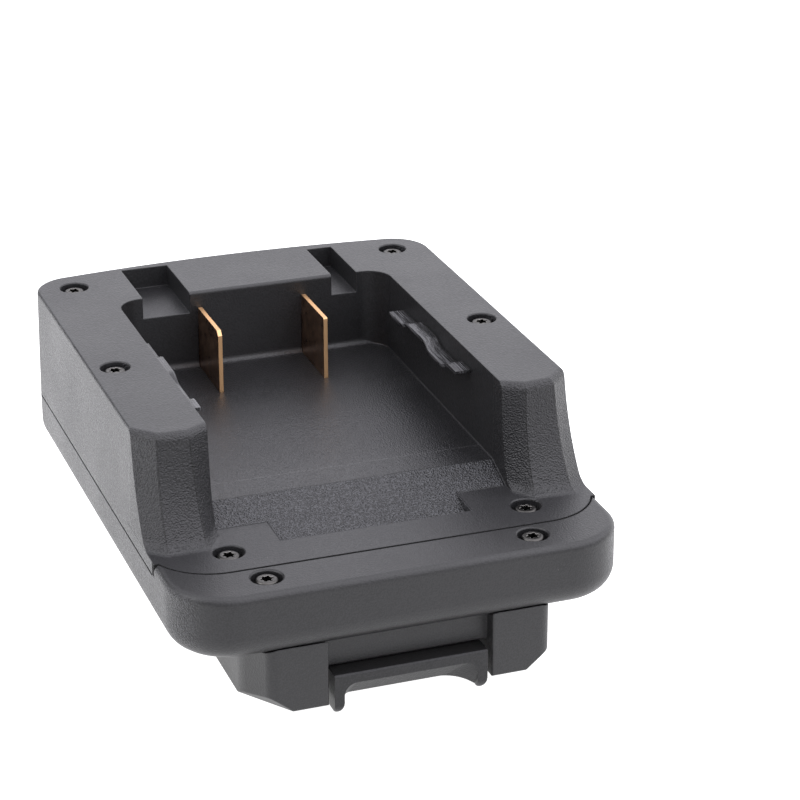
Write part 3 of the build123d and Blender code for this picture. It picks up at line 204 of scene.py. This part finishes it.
def moulded(name, base, light, rough=(0.36, 0.46), grain=1.0, shell=False, edge=0.3, dust=0.0, wear=0.5, scratches=0.0, gap=None, bay=False):
    """Moulded plastic: spark-eroded grain, slight tone and gloss drift, soft edges, faint wear."""
    m, nt, bsdf = new_mat(name)
    tc = nt.nodes.new("ShaderNodeTexCoord")
    vec = tc.outputs["Object"]
    fine = noise(nt, vec, 3600.0, 0.0, 0.5)
    mid = noise(nt, vec, 2300.0, 1.0, 0.5)
    slow = noise(nt, vec, 42.0, 3.0, 0.55)
    geo = nt.nodes.new("ShaderNodeNewGeometry")
    sepn = nt.nodes.new("ShaderNodeSeparateXYZ")
    nt.links.new(geo.outputs["Normal"], sepn.inputs[0])
    flank = ramp(nt, math_node(nt, "ABSOLUTE", sepn.outputs[0]), 0.55, 0.9)
    flank = math_node(nt, "MULTIPLY", flank, ramp(nt, math_node(nt, "ABSOLUTE", sep_x(nt, vec)), 0.030, 0.033))
    amount = math_node(nt, "ADD", math_node(nt, "MULTIPLY", flank, FLANK_GRAIN), 1.0)
    gloss_shift = None
    crease = None
    if shell:
        x, y, z, ax, zone, sloping = zone_masks(nt, vec)
        amount = math_node(nt, "ADD", amount, zone)
        # the pocket floor is glossier than the rest
        low = ramp(nt, z, TOP - 0.0149, TOP - 0.0147, 1.0, 0.0)
        inner = ramp(nt, ax, 0.0268, 0.0270, 1.0, 0.0)
        behind = ramp(nt, y, BACK - 0.0592, BACK - 0.0588, 0.0, 1.0)
        on_floor = math_node(nt, "MULTIPLY", math_node(nt, "MULTIPLY", low, inner), behind)
        amount = math_node(nt, "ADD", amount, math_node(nt, "MULTIPLY", on_floor, FLOOR_GRAIN))
        # witness line across the floor
        line = ramp(nt, math_node(nt, "ABSOLUTE", math_node(nt, "SUBTRACT", y, BACK - 0.0526)), 0.00004, 0.00013, 1.0, 0.0)
        line = math_node(nt, "MULTIPLY", line, on_floor)
        gloss_shift = (on_floor, line)
        crease = crease_mask(nt, x, y, z, ax)
        # painted shade: the flange's rim, down in the gap beside the skirt, is darkened almost to black
        rim = math_node(nt, "MULTIPLY", ramp(nt, z, TOP - 0.01886, TOP - 0.01874, 1.0, 0.0), ramp(nt, y, BACK - 0.0736, BACK - 0.0733, 1.0, 0.0))
    height = math_node(nt, "MULTIPLY", math_node(nt, "ADD", math_node(nt, "MULTIPLY", fine, 0.75), math_node(nt, "MULTIPLY", mid, 0.25)), amount)
    if crease:
        height = math_node(nt, "SUBTRACT", height, math_node(nt, "MULTIPLY", crease, 1.6))
    bump = nt.nodes.new("ShaderNodeBump")
    bump.inputs["Strength"].default_value = 1.0
    bump.inputs["Distance"].default_value = 0.00006 * grain
    nt.links.new(height, bump.inputs["Height"])
    bev = nt.nodes.new("ShaderNodeBevel")
    bev.samples = 6
    bev.inputs["Radius"].default_value = edge / 1000.0
    nt.links.new(bev.outputs["Normal"], bump.inputs["Normal"])
    nt.links.new(bump.outputs["Normal"], bsdf.inputs["Normal"])
    # where the rounded normal departs from the flat one lies an edge: rubbed a little lighter
    dot = nt.nodes.new("ShaderNodeVectorMath")
    dot.operation = "DOT_PRODUCT"
    nt.links.new(bev.outputs["Normal"], dot.inputs[0])
    nt.links.new(geo.outputs["Normal"], dot.inputs[1])
    worn = ramp(nt, dot.outputs["Value"], 0.80, 0.985, 1.0, 0.0)
    worn = math_node(nt, "MULTIPLY", worn, ramp(nt, noise(nt, vec, 260.0, 3.0, 0.6), 0.35, 0.7))
    tone = math_node(nt, "ADD", math_node(nt, "MULTIPLY", slow, 0.4), math_node(nt, "MULTIPLY", fine, 0.6))
    col = mix_color(nt, ramp(nt, tone, 0.36, 0.64), base, light)
    # painted glints: the coarse grain's sparkle is painted as fine light specks
    where = math_node(nt, "MULTIPLY", flank, 0.7)
    if shell:
        where = math_node(nt, "MAXIMUM", where, sloping)
    col = mix_color(nt, math_node(nt, "MULTIPLY", ramp(nt, fine, 0.44, 0.62), where), col, (0.046, 0.047, 0.051))
    lighter = tuple(min(1.0, c * 2.5 + 0.012) for c in light)
    col = mix_color(nt, math_node(nt, "MULTIPLY", worn, wear), col, lighter)
    seat_gap_shade = None
    if shell or gap is not None:
        seat = nt.nodes.new("ShaderNodeSeparateXYZ")
        nt.links.new(vec, seat.inputs[0])
        level = ramp(nt, math_node(nt, "ABSOLUTE", math_node(nt, "SUBTRACT", seat.outputs[2], TOP - 0.01875)), 0.00012, 0.00022, 1.0, 0.0)
        ahead = ramp(nt, seat.outputs[1], BACK - 0.0737, BACK - 0.0734, 1.0, 0.0)
        brink = ramp(nt, dot.outputs["Value"], 0.93, 0.998, 1.0, 0.0)
        seat_gap_shade = math_node(nt, "MULTIPLY", math_node(nt, "MULTIPLY", level, ahead), brink)
        # painted shade: edges at the flange seat level, in the gap ahead of the pocket, are darkened almost to black
        col = mix_color(nt, math_node(nt, "MULTIPLY", seat_gap_shade, 0.9), col, (0.001, 0.001, 0.001))
    if dust > 0.0:
        spots = math_node(nt, "MAXIMUM", specks(nt, vec, 420.0, 0.045, 0.07), specks(nt, vec, 190.0, 0.022, 0.10))
        col = mix_color(nt, math_node(nt, "MULTIPLY", spots, dust), col, (0.34, 0.33, 0.32))
    if scratches > 0.0:
        # fine curved rub marks on the upright walls of the pocket only
        upright = ramp(nt, math_node(nt, "ABSOLUTE", sepn.outputs[2]), 0.3, 0.5, 1.0, 0.0)
        within = ramp(nt, math_node(nt, "ABSOLUTE", sep_x(nt, vec)), 0.0272, 0.0276, 1.0, 0.0)
        marks = math_node(nt, "MULTIPLY", hairs(nt, vec, 140.0, 0.003, 70.0, 0.30), math_node(nt, "MULTIPLY", upright, within))
        col = mix_color(nt, math_node(nt, "MULTIPLY", marks, scratches), col, (0.20, 0.20, 0.20))
    if gloss_shift:
        col = mix_color(nt, math_node(nt, "MULTIPLY", gloss_shift[1], 0.12), col, (0.30, 0.30, 0.30))
    if crease:
        # painted shade: the creases between the arm-front facets are darkened almost to black
        col = mix_color(nt, math_node(nt, "MULTIPLY", crease, 0.9), col, (0.002, 0.002, 0.002))
        # painted shade on the flange's rim, down in the gap beside the skirt
        col = mix_color(nt, rim, col, (0.001, 0.001, 0.001))
    if gap is not None:
        # painted shade: the parting gap is darkened almost to black
        zc, half, front_end = gap
        zz = nt.nodes.new("ShaderNodeSeparateXYZ")
        nt.links.new(vec, zz.inputs[0])
        inside = ramp(nt, math_node(nt, "ABSOLUTE", math_node(nt, "SUBTRACT", zz.outputs[2], zc)), half, half + 0.00006, 1.0, 0.0)
        inside = math_node(nt, "MULTIPLY", inside, ramp(nt, zz.outputs[1], front_end, front_end + 0.0003, 0.0, 1.0))
        col = mix_color(nt, math_node(nt, "MULTIPLY", inside, 0.95), col, (0.001, 0.001, 0.001))
    if bay:
        # the lever's upper side is dull and dark where the bay shades it
        upper = ramp(nt, sepn.outputs[2], 0.8, 0.97)
        col = mix_color(nt, math_node(nt, "MULTIPLY", upper, 0.85), col, (0.0022, 0.0020, 0.0018))
    nt.links.new(col, bsdf.inputs["Base Color"])
    r = ramp(nt, math_node(nt, "ADD", math_node(nt, "MULTIPLY", slow, 0.6), math_node(nt, "MULTIPLY", mid, 0.4)), 0.3, 0.7, rough[0], rough[1])
    if bay:
        r = math_node(nt, "ADD", r, math_node(nt, "MULTIPLY", upper, 0.35))
    if gloss_shift:
        r = math_node(nt, "SUBTRACT", r, math_node(nt, "MULTIPLY", gloss_shift[0], 0.06))
        r = math_node(nt, "MAXIMUM", r, rim)
    if seat_gap_shade:
        r = math_node(nt, "MAXIMUM", r, seat_gap_shade)
    nt.links.new(r, bsdf.inputs["Roughness"])
    bsdf.inputs["IOR"].default_value = 1.5
    bsdf.inputs["Specular IOR Level"].default_value = 0.38 if bay else 0.5
    return m


def striated(name, base, light):
    """Satin strip with fine marks running along it and rubbed bright streaks."""
    m, nt, bsdf = new_mat(name)
    tc = nt.nodes.new("ShaderNodeTexCoord")
    vec = tc.outputs["Object"]
    mp = nt.nodes.new("ShaderNodeMapping")
    mp.inputs["Scale"].default_value = (1.0, 0.03, 0.4)
    nt.links.new(vec, mp.inputs["Vector"])
    lines = noise(nt, mp.outputs["Vector"], 4200.0, 2.0, 0.6)
    broad = noise(nt, mp.outputs["Vector"], 900.0, 2.0, 0.5)
    fine = noise(nt, vec, 2600.0, 2.0, 0.6)
    streak = ramp(nt, math_node(nt, "ADD", math_node(nt, "MULTIPLY", lines, 0.6), math_node(nt, "MULTIPLY", broad, 0.4)), 0.46, 0.62)
    col = mix_color(nt, streak, base, light)
    # painted shade: darkened almost to black where the strip meets the arm
    wall_gap_shade = ramp(nt, math_node(nt, "ABSOLUTE", sep_x(nt, vec)), 0.02655, 0.02680)
    col = mix_color(nt, wall_gap_shade, col, (0.001, 0.001, 0.001))
    nt.links.new(col, bsdf.inputs["Base Color"])
    bump = nt.nodes.new("ShaderNodeBump")
    bump.inputs["Strength"].default_value = 0.6
    bump.inputs["Distance"].default_value = 0.00012
    nt.links.new(math_node(nt, "ADD", lines, math_node(nt, "MULTIPLY", fine, 0.35)), bump.inputs["Height"])
    bev = nt.nodes.new("ShaderNodeBevel")
    bev.samples = 6
    bev.inputs["Radius"].default_value = 0.00015
    nt.links.new(bev.outputs["Normal"], bump.inputs["Normal"])
    nt.links.new(bump.outputs["Normal"], bsdf.inputs["Normal"])
    nt.links.new(math_node(nt, "MAXIMUM", ramp(nt, lines, 0.3, 0.7, 0.24, 0.36), wall_gap_shade), bsdf.inputs["Roughness"])
    bsdf.inputs["IOR"].default_value = 1.55
    return m


def screw_head(name, head_z, bright, dark):
    """Blackened steel screw whose head rim is lighter, partly rubbed wear and partly a painted highlight; its recess
    stays dark.
    """
    m, nt, bsdf = new_mat(name)
    tc = nt.nodes.new("ShaderNodeTexCoord")
    vec = tc.outputs["Object"]
    sep = nt.nodes.new("ShaderNodeSeparateXYZ")
    nt.links.new(vec, sep.inputs[0])
    patch = noise(nt, vec, 900.0, 3.0, 0.6)
    fine = noise(nt, vec, 4200.0, 2.0, 0.6)
    bev = nt.nodes.new("ShaderNodeBevel")
    bev.samples = 8
    bev.inputs["Radius"].default_value = 0.00018
    geo = nt.nodes.new("ShaderNodeNewGeometry")
    dot = nt.nodes.new("ShaderNodeVectorMath")
    dot.operation = "DOT_PRODUCT"
    nt.links.new(bev.outputs["Normal"], dot.inputs[0])
    nt.links.new(geo.outputs["Normal"], dot.inputs[1])
    rim = ramp(nt, dot.outputs["Value"], 0.80, 0.99, 1.0, 0.0)
    up = ramp(nt, sep.outputs[2], head_z - 0.00060, head_z - 0.00012)
    rim = math_node(nt, "MULTIPLY", math_node(nt, "MULTIPLY", rim, up), ramp(nt, patch, 0.3, 0.6, 0.45, 1.0))
    face = mix_color(nt, math_node(nt, "MULTIPLY", up, ramp(nt, patch, 0.3, 0.7, 0.5, 1.0)), dark, (0.085, 0.082, 0.078))
    # the bright rim colour is partly rubbed wear and partly a painted highlight
    nt.links.new(mix_color(nt, rim, face, bright), bsdf.inputs["Base Color"])
    bsdf.inputs["Metallic"].default_value = 1.0
    nt.links.new(ramp(nt, patch, 0.3, 0.7, 0.26, 0.42), bsdf.inputs["Roughness"])
    bump = nt.nodes.new("ShaderNodeBump")
    bump.inputs["Strength"].default_value = 0.3
    bump.inputs["Distance"].default_value = 0.00003
    nt.links.new(fine, bump.inputs["Height"])
    nt.links.new(bev.outputs["Normal"], bump.inputs["Normal"])
    nt.links.new(bump.outputs["Normal"], bsdf.inputs["Normal"])
    return m


def metal(name, dark, bright, rough=(0.28, 0.42), scratch=0.6, edge_bright=None):
    """Metal with drawn or ground marks, patchy tarnish and rubbed edges."""
    m, nt, bsdf = new_mat(name)
    tc = nt.nodes.new("ShaderNodeTexCoord")
    vec = tc.outputs["Object"]
    mp = nt.nodes.new("ShaderNodeMapping")
    mp.inputs["Scale"].default_value = (1.0, 0.12, 1.0)
    nt.links.new(vec, mp.inputs["Vector"])
    lines = noise(nt, mp.outputs["Vector"], 5200.0, 2.0, 0.6)
    patch = noise(nt, vec, 420.0, 4.0, 0.6)
    slow = noise(nt, vec, 110.0, 3.0, 0.5)
    col = mix_color(nt, ramp(nt, math_node(nt, "ADD", math_node(nt, "MULTIPLY", patch, 0.5), math_node(nt, "MULTIPLY", slow, 0.5)), 0.35, 0.65), dark, bright)
    bev = nt.nodes.new("ShaderNodeBevel")
    bev.samples = 6
    bev.inputs["Radius"].default_value = 0.00012
    if edge_bright:
        geo = nt.nodes.new("ShaderNodeNewGeometry")
        sepn = nt.nodes.new("ShaderNodeSeparateXYZ")
        nt.links.new(geo.outputs["Normal"], sepn.inputs[0])
        ax = math_node(nt, "ABSOLUTE", sepn.outputs[0])
        sheared = ramp(nt, ax, 0.35, 0.75, 1.0, 0.0)
        col = mix_color(nt, sheared, col, edge_bright)
    nt.links.new(col, bsdf.inputs["Base Color"])
    bsdf.inputs["Metallic"].default_value = 1.0
    r = ramp(nt, math_node(nt, "ADD", math_node(nt, "MULTIPLY", patch, 0.5), math_node(nt, "MULTIPLY", lines, 0.5)), 0.3, 0.7, rough[0], rough[1])
    if edge_bright:
        r = math_node(nt, "ADD", r, math_node(nt, "MULTIPLY", sheared, 0.22))
    nt.links.new(r, bsdf.inputs["Roughness"])
    bump = nt.nodes.new("ShaderNodeBump")
    bump.inputs["Strength"].default_value = 0.35 * scratch
    bump.inputs["Distance"].default_value = 0.00002
    nt.links.new(lines, bump.inputs["Height"])
    nt.links.new(bev.outputs["Normal"], bump.inputs["Normal"])
    nt.links.new(bump.outputs["Normal"], bsdf.inputs["Normal"])
    return m


housing = moulded("housing_plastic", (0.0085, 0.0085, 0.0092), (0.0160, 0.0160, 0.0172), shell=True, dust=0.4, scratches=0.5)
base_mat = moulded("base_plastic", (0.0085, 0.0085, 0.0090), (0.0155, 0.0155, 0.0163), dust=0.25, gap=(TOP - 0.02118, 0.00020, BACK - 0.0734))
plug_mat = moulded("plug_plastic", (0.0095, 0.0095, 0.010), (0.0165, 0.0165, 0.0172), rough=(0.40, 0.50), dust=0.15)
lever_mat = moulded("lever_plastic", (0.0085, 0.0085, 0.009), (0.015, 0.015, 0.0158), rough=(0.38, 0.48), edge=0.25, dust=0.2, bay=True)
strip_mat = striated("strip_plastic", (0.012, 0.012, 0.013), (0.10, 0.10, 0.105))
inner_mat = moulded("inner_plastic", (0.05, 0.05, 0.052), (0.075, 0.075, 0.078), rough=(0.5, 0.62), edge=0.2)
lead_black = moulded("lead_black", (0.015, 0.015, 0.015), (0.028, 0.028, 0.028), rough=(0.35, 0.45), grain=0.3, edge=0.1)
lead_red = moulded("lead_red", (0.30, 0.016, 0.012), (0.42, 0.03, 0.02), rough=(0.35, 0.45), grain=0.3, edge=0.1)
screw_top = screw_head("screw_steel", TOP - 0.00055, (0.34, 0.33, 0.31), (0.050, 0.048, 0.045))
screw_flange = screw_head("screw_steel_flange", TOP - 0.0187 - 0.00045, (0.34, 0.33, 0.31), (0.050, 0.048, 0.045))
screw_skirt = screw_head("screw_steel_skirt", TOP - 0.0187 - 0.00025, (0.34, 0.33, 0.31), (0.050, 0.048, 0.045))
screw_mat = metal("screw_steel_inner", (0.045, 0.045, 0.05), (0.10, 0.10, 0.105), rough=(0.30, 0.45))
small_screw = metal("small_screw_steel", (0.42, 0.42, 0.43), (0.6, 0.6, 0.62))
pin_mat = metal("pin_steel", (0.5, 0.5, 0.51), (0.66, 0.66, 0.67), rough=(0.2, 0.32))
spring_mat = metal("spring_steel", (0.3, 0.3, 0.31), (0.48, 0.48, 0.5), rough=(0.28, 0.4))
blade_mat = metal("blade_brass", (0.30, 0.175, 0.115), (0.46, 0.30, 0.20), rough=(0.26, 0.40), edge_bright=(0.74, 0.47, 0.25))
clip_mat = metal("clip_brass", (0.5, 0.34, 0.16), (0.66, 0.47, 0.22))

wanted = {
    "receptacle_housing": housing, "base_housing": base_mat, "plug_body": plug_mat, "release_lever": lever_mat,
    "rail_strip_left": strip_mat, "rail_strip_right": strip_mat, "blade_carrier": inner_mat, "contact_block": inner_mat,
    "terminal_blade_left": blade_mat, "terminal_blade_right": blade_mat,
    "contact_clip_left": clip_mat, "contact_clip_right": clip_mat, "lead_left": lead_black, "lead_right": lead_red,
    "lever_pin": pin_mat, "lever_spring_left": spring_mat, "lever_spring_right": spring_mat,
    "long_case_screws": screw_top, "flange_screws": screw_flange, "skirt_screws": screw_skirt, "plug_screws": screw_mat,
    "blade_carrier_screws": small_screw, "contact_block_screws": small_screw,
}
for name, mat in wanted.items():
    o = nodes[name]
    o.data.materials.clear()
    o.data.materials.append(mat)

# ------------------------------------------------------------------ lever springs, copied as separate coils on the adapter
for side in ("left", "right"):
    seat_node = "lever_spring_" + side
    coil = bpy.data.objects.new("coil_" + side, nodes[seat_node].data.copy())
    bpy.context.scene.collection.objects.link(coil)
    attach(coil, "adapter")
    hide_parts(seat_node)
    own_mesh(coil)

# ------------------------------------------------------------------ studio
floor_mesh = bpy.data.meshes.new("floor")
bm = bmesh.new()
bmesh.ops.create_grid(bm, x_segments=8, y_segments=8, size=3.0)
bm.to_mesh(floor_mesh)
bm.free()
floor = bpy.data.objects.new("floor", floor_mesh)
floor.location = (0, 0, -0.0002)
bpy.context.scene.collection.objects.link(floor)
fm, nt, bsdf = new_mat("floor_pale")
tc = nt.nodes.new("ShaderNodeTexCoord")
f = noise(nt, tc.outputs["Object"], 6.0, 2.0, 0.5)
nt.links.new(mix_color(nt, ramp(nt, f, 0.3, 0.7), (0.36, 0.36, 0.36), (0.38, 0.38, 0.38)), bsdf.inputs["Base Color"])
bsdf.inputs["Roughness"].default_value = 0.8
bsdf.inputs["Emission Color"].default_value = (1.0, 1.0, 1.0, 1.0)
fsep = nt.nodes.new("ShaderNodeSeparateXYZ")
nt.links.new(tc.outputs["Object"], fsep.inputs[0])
across = ramp(nt, fsep.outputs[0], -0.10, 0.12, 0.36, 0.56)
glow = nt.nodes.new("ShaderNodeMapRange")
glow.interpolation_type = "SMOOTHSTEP"
nt.links.new(fsep.outputs[1], glow.inputs["Value"])
glow.inputs["From Min"].default_value = -0.15
glow.inputs["From Max"].default_value = 0.02
nt.links.new(across, glow.inputs["To Min"])
glow.inputs["To Max"].default_value = 1.40
nt.links.new(glow.outputs["Result"], bsdf.inputs["Emission Strength"])
# the underside of the floor is clear, so that the object can be looked at from below
clear = nt.nodes.new("ShaderNodeBsdfTransparent")
fgeo = nt.nodes.new("ShaderNodeNewGeometry")
pick = nt.nodes.new("ShaderNodeMixShader")
nt.links.new(fgeo.outputs["Backfacing"], pick.inputs[0])
nt.links.new(bsdf.outputs["BSDF"], pick.inputs[1])
nt.links.new(clear.outputs["BSDF"], pick.inputs[2])
fout = [n for n in nt.nodes if n.type == "OUTPUT_MATERIAL"][0]
nt.links.new(pick.outputs[0], fout.inputs["Surface"])
floor_mesh.materials.append(fm)

world = bpy.data.worlds.new("studio") if not bpy.context.scene.world else bpy.context.scene.world
bpy.context.scene.world = world
world.use_nodes = True
wn = world.node_tree
wn.nodes.clear()
wo = wn.nodes.new("ShaderNodeOutputWorld")
bg = wn.nodes.new("ShaderNodeBackground")
wtc = wn.nodes.new("ShaderNodeTexCoord")
wsep = wn.nodes.new("ShaderNodeSeparateXYZ")
wn.links.new(wtc.outputs["Generated"], wsep.inputs[0])
# a wide soft box overhead and in front, brighter towards the rear, darker low in front
depth = ramp(wn, wsep.outputs[1], -0.9, 0.8, 0.66, 1.66)
box = math_node(wn, "MULTIPLY", ramp(wn, wsep.outputs[2], 0.12, 0.58), ramp(wn, wsep.outputs[1], 0.0, 0.45, 1.0, 0.0))
box = math_node(wn, "MULTIPLY", box, ramp(wn, wsep.outputs[0], -0.9, 0.3, 0.35, 1.0))
strength = math_node(wn, "ADD", depth, math_node(wn, "MULTIPLY", box, 1.8))
# darker low in front on the left, brighter in front on the right
front_left = math_node(wn, "MULTIPLY", ramp(wn, wsep.outputs[1], -0.85, -0.25, 1.0, 0.0), ramp(wn, wsep.outputs[0], -0.75, 0.05, 1.0, 0.0))
front_right = math_node(wn, "MULTIPLY", ramp(wn, wsep.outputs[1], -0.90, -0.45, 1.0, 0.0), ramp(wn, wsep.outputs[0], -0.05, 0.30, 0.0, 1.0))
strength = math_node(wn, "MULTIPLY", strength, math_node(wn, "SUBTRACT", 1.0, math_node(wn, "MULTIPLY", front_left, 0.6)))
strength = math_node(wn, "MULTIPLY", strength, math_node(wn, "ADD", 1.0, math_node(wn, "MULTIPLY", front_right, 0.12)))
# a dark gap between the boxes, low at the rear on the left
notch = math_node(wn, "MULTIPLY", ramp(wn, wsep.outputs[0], -0.75, -0.60, 0.0, 1.0), ramp(wn, wsep.outputs[0], -0.22, -0.05, 1.0, 0.0))
notch = math_node(wn, "MULTIPLY", notch, math_node(wn, "MULTIPLY", ramp(wn, wsep.outputs[2], 0.03, 0.12, 0.0, 1.0), ramp(wn, wsep.outputs[2], 0.50, 0.66, 1.0, 0.0)))
notch = math_node(wn, "MULTIPLY", notch, ramp(wn, wsep.outputs[1], 0.35, 0.50, 0.0, 1.0))
strength = math_node(wn, "MULTIPLY", strength, math_node(wn, "SUBTRACT", 1.0, math_node(wn, "MULTIPLY", notch, 0.92)))
wn.links.new(mix_color(wn, ramp(wn, wsep.outputs[2], 0.0, 0.35), (1.0, 1.0, 1.0), (1.0, 0.99, 1.06)), bg.inputs["Color"])
wn.links.new(strength, bg.inputs["Strength"])
wn.links.new(bg.outputs[0], wo.inputs["Surface"])


def area(name, loc, target, size, power, color=(1, 1, 1)):
    l = bpy.data.lights.new(name, "AREA")
    l.shape = "RECTANGLE"
    l.size, l.size_y = size
    l.energy = power
    l.color = color
    o = bpy.data.objects.new(name, l)
    o.location = loc
    d = Vector(target) - Vector(loc)
    o.rotation_euler = d.to_track_quat("-Z", "Y").to_euler()
    bpy.context.scene.collection.objects.link(o)
    return o


area("rear_left", (-1.0, 0.1, 0.8), (-0.05, 0.0, 0.02), (0.6, 0.5), 3.0)

cam_data = bpy.data.cameras.new("camera")
cam_data.lens = 118.62
cam_data.sensor_width = 36.0
cam_data.sensor_fit = "HORIZONTAL"
cam_data.clip_start = 0.01
cam_data.clip_end = 10.0
cam = bpy.data.objects.new("camera", cam_data)
right = Vector((0.940001, -0.341171, -0.000574)).normalized()
fwd = Vector((0.313942, 0.865636, -0.390020)).normalized()
up = right.cross(fwd).normalized()
cam.matrix_world = Matrix((
    (right.x, up.x, -fwd.x, -0.136586),
    (right.y, up.y, -fwd.y, -0.424997),
    (right.z, up.z, -fwd.z, 0.223668),
    (0, 0, 0, 1),
))
bpy.context.scene.collection.objects.link(cam)
bpy.context.scene.camera = cam
bpy.context.scene.view_settings.view_transform = "Standard"
bpy.context.scene.view_settings.look = "None"

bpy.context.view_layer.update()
